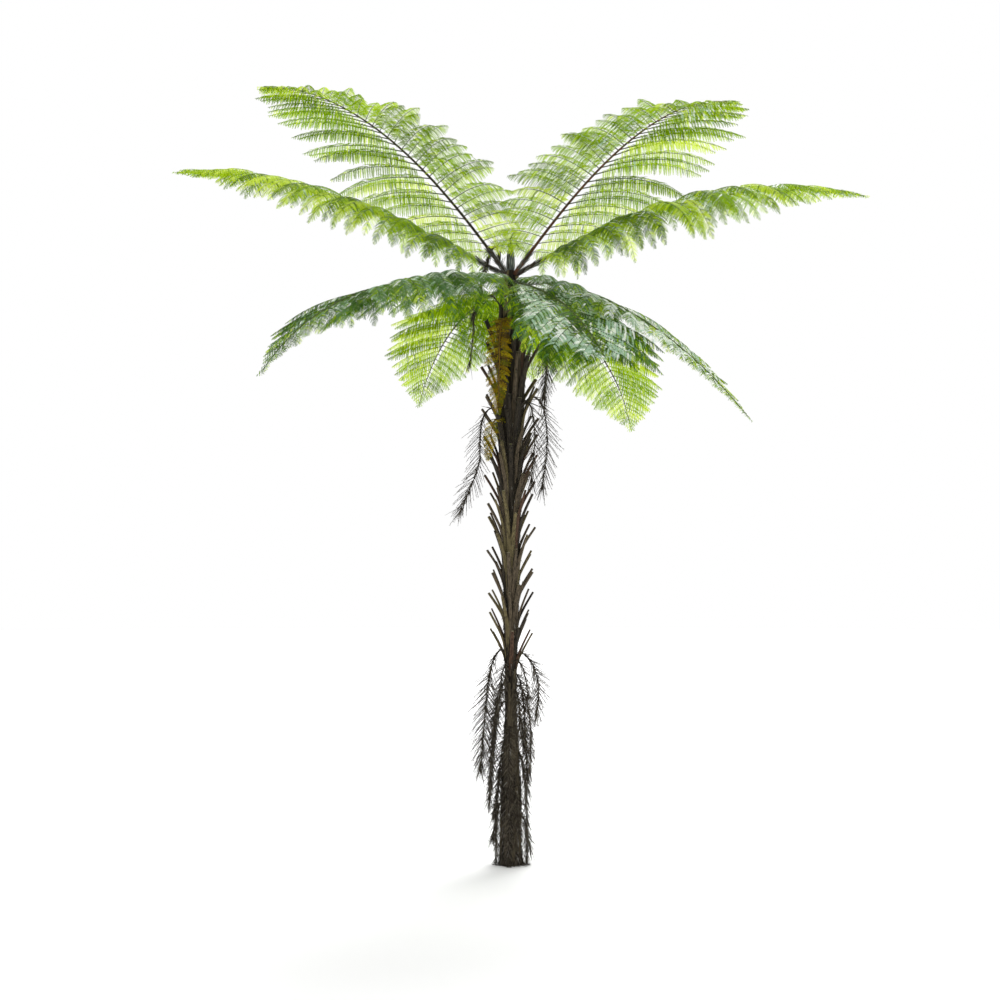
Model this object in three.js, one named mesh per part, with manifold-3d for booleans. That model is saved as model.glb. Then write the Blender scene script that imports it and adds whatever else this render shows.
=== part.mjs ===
// Tree fern: an upright trunk clad in old frond bases, a crown of ten living fronds round a young scaly
// spear, and dead fronds hanging from the crown and down the trunk. Millimetres, +Z up. The origin is the
// middle of the flat cut under the trunk, at ground level. Azimuths run counter-clockwise from +X.
import * as THREE from 'three';
import { mergeVertices } from 'three/addons/utils/BufferGeometryUtils.js';
import Module from 'manifold-3d';

const wasm = await Module();
wasm.setup();

// ---------------------------------------------------------------- driving dimensions
const CLEARANCE = 0.3; // gap kept between neighbouring pieces
const GRID = 1 / 256; // every corner lies on this grid, which decimals and 32-bit numbers hold exactly
const CROWN_HEIGHT = 3795; // top of the trunk, among the foot of the fronds
const GOLDEN_ANGLE = 137.508; // spiral in which fronds follow each other up the trunk

const TRUNK = {
  sides: 18,
  // half-width up the trunk: a slight flare at the cut, a bare waist, then a sheath of old frond bases
  stations: [
    { height: 0, radius: 76 },
    { height: 60, radius: 69 },
    { height: 200, radius: 65 },
    { height: 500, radius: 60 },
    { height: 700, radius: 50 },
    { height: 850, radius: 38 },
    { height: 1000, radius: 32 },
    { height: 1200, radius: 37 },
    { height: 1350, radius: 45 },
    { height: 1700, radius: 53 },
    { height: 2050, radius: 62 },
    { height: 2400, radius: 74 },
    { height: 2750, radius: 86 },
    { height: 3050, radius: 96 },
    { height: 3300, radius: 98 },
    { height: 3450, radius: 82 },
    { height: 3600, radius: 64 },
    { height: 3730, radius: 58 },
    { height: CROWN_HEIGHT, radius: 36 },
  ],
};

const STUBS = {
  count: 62,
  lowest: 1150, // foot of the lowest stub
  rise: 34, // height gained from one stub to the next
  reach: 100, // distance from the trunk's face to the cut end
  lift: 285, // height of the cut end over the foot
  reachSpread: 0.25, // how far single stubs differ from that reach and lift, in waves up the trunk
  reachWave: 2.4,
  liftSpread: 0.1,
  liftWave: 1.7,
  footWidth: 38,
  footThickness: 20,
  tipWidth: 22,
  tipThickness: 16,
  sides: 4,
  // from the sunk foot along the trunk, then out to the cut end, as shares of the reach and the lift
  path: [{ out: -0.15, up: 0 }, { out: 0.05, up: 0.4 }, { out: 0.45, up: 0.68 }, { out: 1, up: 1 }],
};

const SPEAR = {
  height: 200,
  radius: 30,
  sides: 10,
  // half-width and height from foot to tip, as shares of the spear's own
  profile: [[1, 0], [1.12, 0.18], [0.9, 0.5], [0.5, 0.82], [0.16, 1]],
};

// The bare foot of a living frond, as a share of the frond's length.
const STALK = { share: 0.12, baseRadius: 15, tipRadius: 9, stations: 4, sides: 6, startRadius: 30 };

const MIDRIB_STEPS = 96;
const LEAFLET_STEPS = 8;

const BLADE = {
  rows: 10, // rows of points in each half of a blade
  split: 0.46, // share of the blade's length where its inner half ends
  midribThickness: 16, // at the blade's foot
  midribTipThickness: 5,
  halfWayThickness: 5, // half way out to the edge
  edgeThickness: 3.5,
  notch: 0.24, // between leaflets the outline steps in by this share of their outer half
  widthAtTip: 0.06,
  angleAtBase: 80, // angle from the midrib to the leaflets
  angleAtTip: 38,
  sagPower: 1.6, // how the droop of a leaflet grows outwards
  droopPower: 0.6, // how far long leaflets droop more than short ones
};

// Each living frond: where it points and leaves the crown, how its midrib rises, then falls to the tip, how
// far it swings sideways, how long its longest leaflets are, where on the blade they stand, what share of that
// length the first ones at its foot have, and how slowly they shorten towards the tip. The lift and droop of
// the leaflets are those of its left side, as seen from the trunk, then of its right side.
const FROND = {
  height: 3765, leaflet: 780, footShare: 0.66, widestAt: 0.22, taper: 1.8, lift: [2, 2], droop: [30, 30],
  roll: 0, swing: 0,
};
const FRONDS = {
  frond_upper_left: {
    azimuth: 224, swing: 10, rise: 39.6, fall: -18, ease: 1.7, length: 2240, roll: -8, leaflet: 750,
    droop: [27, 32],
  },
  frond_upper_right: {
    azimuth: 316, swing: -22, rise: 39.8, fall: -23, ease: 1.58, length: 2180, roll: 9, leaflet: 770,
    droop: [36, 25],
  },
  frond_left: {
    azimuth: 180, rise: 28.4, fall: -2, ease: 1.84, length: 2270, footShare: 0.9, taper: 2.2, roll: -7,
    lift: [6, 13], droop: [54, 44],
  },
  frond_right: {
    azimuth: 0, rise: 31, fall: -10, ease: 1.28, length: 2390, leaflet: 830, footShare: 0.88,
    widestAt: 0.28, taper: 1.5, roll: 6, lift: [10, 6], droop: [44, 61],
  },
  frond_front_left: {
    azimuth: 218, swing: 8, height: 3725, rise: -5, fall: -55, ease: 1.75, length: 2060, leaflet: 850, taper: 1,
    lift: [6, 2], droop: [66, 36],
  },
  frond_front_right: {
    azimuth: 328, swing: -5, height: 3710, rise: 8, fall: -51, ease: 0.5, length: 1960, leaflet: 580, taper: 1,
    lift: [0, 7], droop: [30, 42],
  },
  frond_front: {
    azimuth: 294, height: 3715, rise: -16, fall: -48, ease: 1.5, length: 1450, leaflet: 580, footShare: 0.16,
    widestAt: 0.5, lift: [4, 4], droop: [40, 52],
  },
  frond_back_left: {
    azimuth: 118, swing: -12, height: 3690, rise: 0, fall: -37, ease: 1.2, length: 1900, leaflet: 530,
  },
  frond_back_right: {
    azimuth: 42, swing: 34, height: 3690, rise: -9, fall: -36, ease: 0.87, length: 1900, leaflet: 530,
  },
  frond_back: { azimuth: 84, height: 3705, rise: 4, fall: -30, ease: 1.3, length: 1850, leaflet: 560 },
};

const HANGING = {
  thickness: 9,
  arch: 90, // height of the arch over the root
  flick: 25, // how far the tip turns outwards
  rows: 8,
  sides: 4,
  rootWidth: 16,
  sunk: 22, // depth of the root below the trunk's face
  swellFrom: 0.12, // the dry leaflets widen between these shares of the length, and narrow again to the tip
  swellTo: 0.42,
  taperFrom: 0.55,
  tipWidth: 0.15,
  // from root to tip: share of the reach, of the arch, of the fall and of the tip's flick
  path: [
    { out: 0, arch: -0.3, fall: 0, flick: 0 },
    { out: 0.42, arch: 0.5, fall: 0, flick: 0 },
    { out: 0.78, arch: 0.2, fall: 0.04, flick: 0 },
    { out: 0.95, arch: 0, fall: 0.2, flick: 0 },
    { out: 1, arch: 0, fall: 0.5, flick: 0 },
    { out: 1, arch: 0, fall: 1, flick: 1 },
  ],
};

// Old fronds round the foot of the trunk weep from their root in a wider bend.
const WEEPING = {
  path: [
    { out: 0, arch: -0.3, fall: 0, flick: 0 },
    { out: 0.3, arch: 0.4, fall: 0, flick: 0 },
    { out: 0.6, arch: 0.1, fall: 0.06, flick: 0 },
    { out: 0.82, arch: 0, fall: 0.2, flick: 0 },
    { out: 1, arch: 0, fall: 0.5, flick: 0 },
    { out: 1, arch: 0, fall: 1, flick: 1 },
  ],
};

// Each dead frond arches out of the trunk, then hangs: height where it leaves the trunk, greatest distance
// from the trunk's axis, height of its tip, width of its dry leaflets, and the way its flat side faces.
const DEAD = {
  dead_frond_crown: { azimuth: 188, from: 3745, reach: 200, to: 3490, width: 130, arch: 420, flick: 45 },
  dead_frond_left_high: { azimuth: 205, from: 3560, reach: 265, to: 3160, width: 90, arch: 120 },
  dead_frond_right_high: {
    azimuth: -8, from: 3400, reach: 235, to: 2960, width: 170, arch: 60, flick: -20, facing: -60,
  },
  dead_frond_left: { azimuth: 187, from: 2850, reach: 205, to: 2230, width: 190, flick: 120, facing: 250 },
  dead_frond_right_outer: { azimuth: 3, from: 2930, reach: 235, to: 2380, width: 190, flick: -30, facing: -70 },
  dead_frond_right_inner: { azimuth: -46, from: 2890, reach: 215, to: 2410, width: 190, flick: -30 },
  dying_frond_high: { azimuth: 243, from: 3420, reach: 160, to: 2860, width: 200 },
  dying_frond_low: { azimuth: 225, from: 2800, reach: 175, to: 2560, width: 140, arch: 40 },
  skirt_frond_left_outer: {
    azimuth: 186, from: 1335, reach: 162, to: 600, width: 190, arch: 30, flick: 30, facing: 250,
  },
  skirt_frond_left_inner: { azimuth: 206, from: 1085, reach: 128, to: 400, width: 150, arch: 30 },
  skirt_frond_left_foot: { azimuth: 196, from: 560, reach: 98, to: 25, width: 110, arch: 30, flick: 0 },
  skirt_frond_right_outer: {
    azimuth: -3, from: 1310, reach: 175, to: 930, width: 160, arch: 40, flick: -10, facing: -60,
  },
  skirt_frond_right_middle: { azimuth: -26, from: 1110, reach: 138, to: 600, width: 150, arch: 30, flick: -5 },
  skirt_frond_front_high: { azimuth: -48, from: 1270, reach: 138, to: 1060, width: 80, arch: 30 },
  skirt_frond_right_foot: { azimuth: -14, from: 680, reach: 102, to: 25, width: 120, arch: 30, flick: 0 },
  skirt_frond_front_foot: { azimuth: 262, from: 560, reach: 98, to: 25, width: 90, arch: 30, flick: 12 },
  skirt_frond_back_right: { azimuth: 52, from: 1180, reach: 150, to: 520, width: 130, arch: 30 },
  skirt_frond_back: { azimuth: 92, from: 860, reach: 130, to: 180, width: 120, arch: 30 },
  skirt_frond_back_left: { azimuth: 138, from: 1120, reach: 150, to: 460, width: 130, arch: 30 },
  skirt_frond_back_foot: { azimuth: 118, from: 420, reach: 104, to: 25, width: 110, arch: 30, flick: 12 },
};

const DRY_STALK = {
  azimuth: -4, height: 3700, start: 35, length: 250, baseRadius: 7, tipRadius: 3, rise: 12, sides: 6,
};

// ---------------------------------------------------------------- materials
const paint = (color, roughness) => new THREE.MeshStandardMaterial({ color, roughness, metalness: 0 });
const BARK = paint(0x4a4130, 0.95);
const SCALES = paint(0x7b8087, 0.9);
const STIPE = paint(0x5a5345, 0.6);
const LEAF_LIGHT = paint(0x86a81f, 0.55);
const LEAF_DARK = paint(0x3f6b45, 0.45);
const LEAF_DYING = paint(0xa98f1e, 0.75);
const LEAF_DEAD = paint(0x4d4842, 0.95);
const DARK_FRONDS = ['frond_front_left', 'frond_front', 'frond_front_right'];

// ---------------------------------------------------------------- small helpers
const { degToRad, lerp, clamp } = THREE.MathUtils;
const UP = new THREE.Vector3(0, 0, 1);

const outward = (azimuth) => {
  const angle = degToRad(azimuth);
  return new THREE.Vector3(Math.cos(angle), Math.sin(angle), 0);
};

// Half-width of the trunk at a height up to its top.
const trunkRadius = (height) => {
  const stations = TRUNK.stations;
  const above = Math.max(1, stations.findIndex((station) => station.height >= height));
  const [low, high] = [stations[above - 1], stations[above]];
  return lerp(low.radius, high.radius, (height - low.height) / (high.height - low.height));
};

// Closed surface through rings of points. The end caps are strips between opposite points of a ring.
function loft(rings) {
  const count = rings[0].length;
  const positions = rings.flat().flatMap((point) => point.toArray());
  const index = [];
  const quad = (a, b, c, d) => index.push(a, b, c, a, c, d);
  for (let row = 0; row < rings.length - 1; row += 1) {
    for (let k = 0; k < count; k += 1) {
      const next = (k + 1) % count;
      quad(row * count + k, row * count + next, (row + 1) * count + next, (row + 1) * count + k);
    }
  }
  const last = (rings.length - 1) * count;
  for (let k = 0; k < count / 2 - 1; k += 1) {
    const opposite = count - 1 - k;
    quad(k, opposite, opposite - 1, k + 1);
    quad(last + k, last + k + 1, last + opposite - 1, last + opposite);
  }
  const geometry = new THREE.BufferGeometry();
  geometry.setAttribute('position', new THREE.Float32BufferAttribute(positions, 3));
  geometry.setIndex(index);
  return geometry;
}

// Oval ring of points round a centre.
function oval(centre, across, over, halfAcross, halfOver, sides) {
  return Array.from({ length: sides }, (_, k) => {
    const angle = ((k + 0.5) * 2 * Math.PI) / sides;
    return centre.clone()
      .addScaledVector(across, halfAcross * Math.cos(angle))
      .addScaledVector(over, halfOver * Math.sin(angle));
  });
}

// Solid of revolution about +Z from [radius, height] pairs that start and end on the axis.
function turned(profile, sides) {
  const points = profile.map(([radius, height]) => new THREE.Vector2(radius, height));
  return new THREE.LatheGeometry(points, sides).rotateX(Math.PI / 2);
}

function toSolid(geometry) {
  const bare = geometry.clone();
  bare.deleteAttribute('normal');
  bare.deleteAttribute('uv');
  const merged = mergeVertices(bare, 1e-3);
  const source = merged.index.array;
  const triangles = [];
  for (let k = 0; k < source.length; k += 3) {
    const [a, b, c] = source.slice(k, k + 3);
    if (a !== b && b !== c && c !== a) triangles.push(a, b, c);
  }
  const vertProperties = Float32Array.from(merged.attributes.position.array);
  const triVerts = Uint32Array.from(triangles);
  return new wasm.Manifold(new wasm.Mesh({ numProp: 3, vertProperties, triVerts }));
}

function toGeometry(solid) {
  const mesh = solid.getMesh();
  const corners = mesh.vertProperties.map((value) => Math.round(value / GRID) * GRID);
  const geometry = new THREE.BufferGeometry();
  geometry.setAttribute('position', new THREE.BufferAttribute(corners, 3));
  geometry.setIndex(new THREE.BufferAttribute(mesh.triVerts.slice(), 1));
  geometry.computeVertexNormals();
  return geometry;
}

// ---------------------------------------------------------------- trunk, stubs and spear
function trunkBody(grow) {
  const top = TRUNK.stations.at(-1).height + grow;
  const profile = TRUNK.stations.map(({ height, radius }) => [radius + grow, height]);
  profile[profile.length - 1][1] = top;
  return turned([[0, 0], ...profile, [0, top]], TRUNK.sides);
}

// Base of a fallen frond: it lies along the trunk, bends out and ends in a blunt cut.
function stub(number, grow) {
  const foot = STUBS.lowest + number * STUBS.rise;
  const away = outward(number * GOLDEN_ANGLE);
  const across = new THREE.Vector3().crossVectors(UP, away);
  const reach = STUBS.reach * (1 + STUBS.reachSpread * Math.sin(number * STUBS.reachWave));
  const lift = STUBS.lift * (1 + STUBS.liftSpread * Math.cos(number * STUBS.liftWave));
  const path = STUBS.path.map(({ out, up }) => {
    const height = foot + up * lift;
    return away.clone().multiplyScalar(trunkRadius(height) + out * reach).setZ(height);
  });
  const rings = path.map((point, k) => {
    const centre = point.clone();
    const share = k / (path.length - 1);
    const width = lerp(STUBS.footWidth, STUBS.tipWidth, share) / 2 + grow;
    const thickness = lerp(STUBS.footThickness, STUBS.tipThickness, share) / 2 + grow;
    const along = path[Math.min(k + 1, path.length - 1)].clone().sub(path[Math.max(k - 1, 0)]).normalize();
    const over = new THREE.Vector3().crossVectors(along, across);
    centre.addScaledVector(along, grow * Math.sign(share - 0.5));
    return oval(centre, across, over, width, thickness, STUBS.sides);
  });
  return loft(rings);
}

function trunkSolid(grow = 0) {
  const stubs = Array.from({ length: STUBS.count }, (_, number) => toSolid(stub(number, grow)));
  return stubs.reduce((trunk, piece) => trunk.add(piece), toSolid(trunkBody(grow)));
}

function spearSolid(grow = 0) {
  const { height, radius, sides, profile } = SPEAR;
  const foot = CROWN_HEIGHT + CLEARANCE - grow;
  const side = profile.map(([wide, share]) => [wide * radius + grow, foot + share * height]);
  return toSolid(turned([[0, foot], ...side, [0, foot + height + grow]], sides));
}

// ---------------------------------------------------------------- living fronds
// Midrib of a frond as evenly spaced points with their directions.
function midrib(frond) {
  const start = outward(frond.azimuth).multiplyScalar(STALK.startRadius).setZ(frond.height);
  const spine = [];
  const stride = frond.length / MIDRIB_STEPS;
  for (let k = 0; k <= MIDRIB_STEPS; k += 1) {
    const share = k / MIDRIB_STEPS;
    const slope = degToRad(frond.rise + (frond.fall - frond.rise) * share ** frond.ease);
    const heading = outward(frond.azimuth + frond.swing * share);
    const along = heading.clone().multiplyScalar(Math.cos(slope)).addScaledVector(UP, Math.sin(slope));
    const level = new THREE.Vector3().crossVectors(UP, heading);
    const over = new THREE.Vector3().crossVectors(along, level);
    const point = k === 0
      ? start
      : spine[k - 1].point.clone()
        .addScaledVector(spine[k - 1].along, stride / 2)
        .addScaledVector(along, stride / 2);
    spine.push({ point, along, level, over });
  }
  return spine;
}

function onMidrib(spine, share) {
  const place = clamp(share, 0, 1) * (spine.length - 1);
  const below = Math.min(Math.floor(place), spine.length - 2);
  const mix = (key) => spine[below][key].clone().lerp(spine[below + 1][key], place - below);
  return { point: mix('point'), along: mix('along'), level: mix('level'), over: mix('over') };
}

// Share of the longest leaflet's length that a leaflet has at this share of the blade.
function leafletShare({ footShare, widestAt, taper }, share) {
  if (share < widestAt) return lerp(footShare, 1, Math.sin((share / widestAt) * (Math.PI / 2)));
  return Math.max(BLADE.widthAtTip, 1 - ((share - widestAt) / (1 - widestAt)) ** taper);
}

// Points along one leaflet: at the midrib, half way out, and at the tip, as it droops outwards.
function leaflet(frond, spine, share, side, grow) {
  const { point, along, level, over } = onMidrib(spine, STALK.share + (1 - STALK.share) * share);
  const roll = degToRad(frond.roll);
  const flat = level.clone().multiplyScalar(Math.cos(roll)).addScaledVector(over, Math.sin(roll));
  const upright = over.clone().multiplyScalar(Math.cos(roll)).addScaledVector(level, -Math.sin(roll));
  const angle = degToRad(lerp(BLADE.angleAtBase, BLADE.angleAtTip, clamp(share, 0, 1)));
  const half = side > 0 ? 0 : 1;
  const lift = degToRad(frond.lift[half]);
  const droop = degToRad(frond.droop[half] * leafletShare(frond, share) ** BLADE.droopPower);
  const heading = along.clone().multiplyScalar(Math.cos(angle))
    .addScaledVector(flat, side * Math.sin(angle) * Math.cos(lift))
    .addScaledVector(upright, Math.sin(angle) * Math.sin(lift))
    .normalize();
  const length = frond.leaflet * leafletShare(frond, share) + grow;
  const points = [point];
  for (let k = 0; k < LEAFLET_STEPS; k += 1) {
    const sag = Math.tan(droop) * ((k + 0.5) / LEAFLET_STEPS) ** BLADE.sagPower;
    const step = heading.clone().addScaledVector(UP, -sag).normalize();
    points.push(points[k].clone().addScaledVector(step, length / LEAFLET_STEPS));
  }
  return [points[0], points[LEAFLET_STEPS / 2], points[LEAFLET_STEPS]];
}

// Five points across the blade, from the left edge over the midrib to the right edge.
function crossing(frond, spine, share, grow) {
  const [root, leftHalf, leftTip] = leaflet(frond, spine, share, 1, grow);
  const [, rightHalf, rightTip] = leaflet(frond, spine, share, -1, grow);
  return [leftTip, leftHalf, root, rightHalf, rightTip];
}

// Thin blade between two shares of its length, with a stepped outline and a thicker midrib.
function blade(frond, from, to, grow) {
  const spine = midrib(frond);
  const reach = grow / (frond.length * (1 - STALK.share));
  const near = 1 / MIDRIB_STEPS;
  const rings = Array.from({ length: BLADE.rows }, (_, row) => {
    const share = lerp(from - reach, to + reach, row / (BLADE.rows - 1));
    const points = crossing(frond, spine, share, grow);
    const before = crossing(frond, spine, share - near, grow);
    const after = crossing(frond, spine, share + near, grow);
    const normals = points.map((_point, column) => {
      const lengthwise = after[column].clone().sub(before[column]);
      const crosswise = points[Math.max(column - 1, 0)].clone().sub(points[Math.min(column + 1, 4)]);
      return lengthwise.cross(crosswise).normalize();
    });
    if (row % 2 === 1) {
      points[0].lerp(points[1], BLADE.notch);
      points[4].lerp(points[3], BLADE.notch);
    }
    const middle = lerp(BLADE.midribThickness, BLADE.midribTipThickness, share);
    const { halfWayThickness, edgeThickness } = BLADE;
    const thickness = [edgeThickness, halfWayThickness, middle, halfWayThickness, edgeThickness];
    const face = (sign) => points.map((point, column) => (
      point.clone().addScaledVector(normals[column], sign * (thickness[column] / 2 + grow))
    ));
    return [...face(1), ...face(-1).reverse()];
  });
  return toSolid(loft(rings));
}

function stalk(frond, grow) {
  const spine = midrib(frond);
  const rings = Array.from({ length: STALK.stations }, (_, k) => {
    const share = (k / (STALK.stations - 1)) * STALK.share + (k ? grow / frond.length : 0);
    const { point, level, over } = onMidrib(spine, share);
    const radius = lerp(STALK.baseRadius, STALK.tipRadius, k / (STALK.stations - 1)) + grow;
    return oval(point, level, over, radius, radius, STALK.sides);
  });
  return toSolid(loft(rings));
}

// ---------------------------------------------------------------- dead fronds
// Path out of the trunk, over an arch, and down to the tip, which flicks outwards.
function hangingPath(dead) {
  const root = trunkRadius(dead.from) - HANGING.sunk;
  return new THREE.CatmullRomCurve3(dead.path.map(({ out, arch, fall, flick }) => {
    const height = dead.from + arch * dead.arch - fall * (dead.from - dead.to);
    const radius = lerp(root, dead.reach, out) + flick * dead.flick;
    return outward(dead.azimuth).multiplyScalar(radius).setZ(height);
  }));
}

function hangingWidth(dead, share) {
  const { swellFrom, swellTo, taperFrom, tipWidth, rootWidth } = HANGING;
  const swell = clamp((share - swellFrom) / (swellTo - swellFrom), 0, 1);
  const tail = 1 - clamp((share - taperFrom) / (1 - taperFrom), 0, 1) ** 2;
  return lerp(rootWidth, dead.width, swell * Math.max(tail, tipWidth));
}

function hangingSolid(dead, grow) {
  const path = hangingPath(dead);
  const rings = Array.from({ length: HANGING.rows }, (_, row) => {
    const share = row / (HANGING.rows - 1);
    const point = path.getPointAt(share);
    const along = path.getTangentAt(share);
    const turn = clamp((share - HANGING.swellFrom) / (HANGING.swellTo - HANGING.swellFrom), 0, 1);
    const facing = outward(lerp(dead.azimuth, dead.facing ?? dead.azimuth, turn));
    const across = new THREE.Vector3().crossVectors(UP, facing);
    const over = new THREE.Vector3().crossVectors(along, across).normalize();
    const flat = new THREE.Vector3().crossVectors(over, along);
    const halfWidth = hangingWidth(dead, share) / 2 + grow;
    point.addScaledVector(along, grow * Math.sign(share - 0.5));
    return oval(point, flat, over, halfWidth, HANGING.thickness / 2 + grow, HANGING.sides);
  });
  return toSolid(loft(rings));
}

function dryStalk(grow) {
  const { azimuth, height, start, length, baseRadius, tipRadius, rise, sides } = DRY_STALK;
  const away = outward(azimuth);
  const sideways = new THREE.Vector3().crossVectors(UP, away);
  const rings = [0, 0.5, 1].map((share) => {
    const radius = lerp(baseRadius, tipRadius, share) + grow;
    const centre = away.clone().multiplyScalar(start + share * length).setZ(height + rise * share);
    return oval(centre, sideways, UP, radius, radius, sides);
  });
  return toSolid(loft(rings));
}

// ---------------------------------------------------------------- assembly
const fern = new THREE.Group();
const cleared = []; // every piece so far, grown by the clearance

// Adds a piece, cut back to a clear gap from the pieces that are already in place.
function place(name, build, material) {
  let solid = build(0);
  for (const other of cleared) {
    const cut = solid.subtract(other);
    if (cut.numTri() > 0) solid = cut;
  }
  const largest = solid.decompose().sort((a, b) => b.volume() - a.volume())[0];
  cleared.push(build(CLEARANCE));
  const mesh = new THREE.Mesh(toGeometry(largest), material);
  mesh.name = name;
  fern.add(mesh);
}

place('trunk', trunkSolid, BARK);
place('crown_spear', spearSolid, SCALES);
const fronds = Object.entries(FRONDS).map(([name, given]) => [name, { ...FROND, ...given }]);
for (const [name, frond] of fronds) place(`${name}_stalk`, (grow) => stalk(frond, grow), STIPE);
for (const [name, frond] of fronds) {
  const leaf = DARK_FRONDS.includes(name) ? LEAF_DARK : LEAF_LIGHT;
  const gap = (2 * CLEARANCE) / (frond.length * (1 - STALK.share)); // as a share of the blade's length
  place(`${name}_inner`, (grow) => blade(frond, gap, BLADE.split, grow), leaf);
  place(`${name}_outer`, (grow) => blade(frond, BLADE.split + gap, 1, grow), leaf);
}
place('dry_stalk', dryStalk, LEAF_DEAD);
for (const [name, given] of Object.entries(DEAD)) {
  const dead = { ...HANGING, ...(name.startsWith('skirt') ? WEEPING : {}), ...given };
  place(name, (grow) => hangingSolid(dead, grow), name.startsWith('dying') ? LEAF_DYING : LEAF_DEAD);
}

export default fern;
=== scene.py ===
"""Looks of a tree fern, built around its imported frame. Metres, +Z up, in the row frame.

Every living frond is grown leaflet by leaflet on the midrib that its CAD blades follow: ribs leave the
midrib in pairs, and each rib carries two combs of lobed, drooping pinnules. The trunk is clad in old
frond bases on a golden-angle spiral, and dry fronds hang from it as bare threads.
Azimuths run counter-clockwise from +X, and slopes are in degrees above the horizon. Radii and widths
of tubes are half-widths. A pair of lists holds places along something and the values at them.
"""

import math
from types import SimpleNamespace as Named

import bpy
import numpy as np
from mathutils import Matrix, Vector


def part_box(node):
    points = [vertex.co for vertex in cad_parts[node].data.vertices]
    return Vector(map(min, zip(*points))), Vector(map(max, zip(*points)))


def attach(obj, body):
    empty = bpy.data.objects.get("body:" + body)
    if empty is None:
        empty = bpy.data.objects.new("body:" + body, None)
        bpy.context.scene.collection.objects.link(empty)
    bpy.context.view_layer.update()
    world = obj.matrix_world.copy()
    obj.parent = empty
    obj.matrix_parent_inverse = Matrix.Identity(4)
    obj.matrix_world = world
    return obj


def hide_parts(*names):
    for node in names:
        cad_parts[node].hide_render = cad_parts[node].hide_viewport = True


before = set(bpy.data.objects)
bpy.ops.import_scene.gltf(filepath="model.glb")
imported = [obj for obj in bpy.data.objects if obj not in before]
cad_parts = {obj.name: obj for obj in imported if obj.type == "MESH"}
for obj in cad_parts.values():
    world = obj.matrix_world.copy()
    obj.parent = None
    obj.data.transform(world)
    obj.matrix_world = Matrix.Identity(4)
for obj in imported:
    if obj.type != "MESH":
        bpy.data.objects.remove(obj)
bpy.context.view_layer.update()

# ---- driving sizes
UP = np.array([0.0, 0.0, 1.0])
GOLDEN_ANGLE = 137.508  # spiral in which fronds follow each other up the trunk
CROWN_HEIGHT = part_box("trunk")[1].z  # top of the trunk, among the feet of the fronds
LOWEST = 0.002  # no thread or root hangs lower

SEEDS = Named(core=50, bases=51, spear=60, fibres=70, inner_skirt=80, dry_stalk=90, dry=100)
# Faces round each kind of tube.
SIDES = Named(stalk=10, rib=4, scale=4, base=8, spear=24, dry_midrib=8, dry_stalk=6, thread=3)

# Height and half-width up the trunk.
TRUNK_PROFILE = np.array([
    [0, 0.076], [0.06, 0.069], [0.2, 0.065], [0.5, 0.060], [0.7, 0.050], [0.85, 0.038], [1.0, 0.032],
    [1.2, 0.037], [1.35, 0.045], [1.7, 0.053], [2.05, 0.062], [2.4, 0.074], [2.75, 0.086], [3.05, 0.096],
    [3.3, 0.098], [3.45, 0.082], [3.6, 0.064], [3.73, 0.058], [CROWN_HEIGHT, 0.036],
])

STALK = Named(
    share=0.12,  # of the midrib
    start=0.030,  # how far from the trunk's axis it starts
    radii=(0.0155, 0.009, 0.0018),  # at the root, the blade's foot and the tip
    scales=90, scaly=0.09, scale_seat=0.8, scale_slope=(0.05, 0.35), scale_length=(0.03, 0.07),
    scale_width=([0, 0.35, 1], [0.0022, 0.003, 0.0005]), scale_flatten=0.3, scale_tones=(0.4, 0.25, 0.35),
)

LEAFLETS = Named(
    crowding=1.25,  # how far the pairs close up towards the tip
    stagger=0.12,  # between the two of a pair, in pairs either way
    place_spread=0.06,
    short_foot=0.14,  # how soon leaflets below the blade's foot shorten
    steps=12, width_at_tip=0.06, angle=(80, 38), angle_spread=1.8, lift_spread=2.5,
    length_spread=0.035, sag_power=1.6,
    droop_power=0.6,  # how far long leaflets droop more than short ones
    droop_spread=0.1, base_radius=0.0038, tip_radius=0.001, rib_depth=0.004,
)

PINNULES = Named(pitch=0.0165, length=0.082, half_width=0.0118, lobe=0.0085)
DYING_PINNULES = Named(pitch=0.0065, length=0.0125, half_width=0.0052, lobe=0.006)

COMB = Named(
    stagger=0.2,  # between the two of a pair, in pitches either way
    angle=([0, 0.5, 1], [80, 70, 42]),  # between rib and pinnule, along the rib
    angle_spread=4,
    outline=([0, 0.12, 0.35, 0.65, 0.88, 1], [0.6, 0.85, 1.0, 0.92, 0.55, 0.16]),  # lengths along the rib
    length_spread=0.06,
    size_power=0.4,  # how far short leaflets have shorter pinnules
    width_power=0.5,  # and short pinnules are narrower
    hang_spread=0.22,
    strays=0.2,  # share in another tint than their leaflet's
    # shade: the share of painted shade along the rib, most at its root.
    shade=([0, 0.6, 1], [1, 0.9, 0.55]),  # how the share of dark ones fades along the rib
    lobes=(4, 14),  # fewest and most on one pinnule
)
LOBES = Named(
    outline=([0, 0.08, 0.3, 0.7, 1], [0.6, 0.95, 1.0, 0.72, 0.3]),  # widths along the pinnule
    width_spread=(0.85, 1.1),
    twist_spread=0.25,  # radians
    ahead_by_width=0.4,  # how far a lobe's point lies ahead, by its half-width
    ahead_by_length=0.45,  # and by its length
    fold=0.28,  # how far it hangs, by its half-width
)

MIDRIB_STEPS = 96
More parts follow.
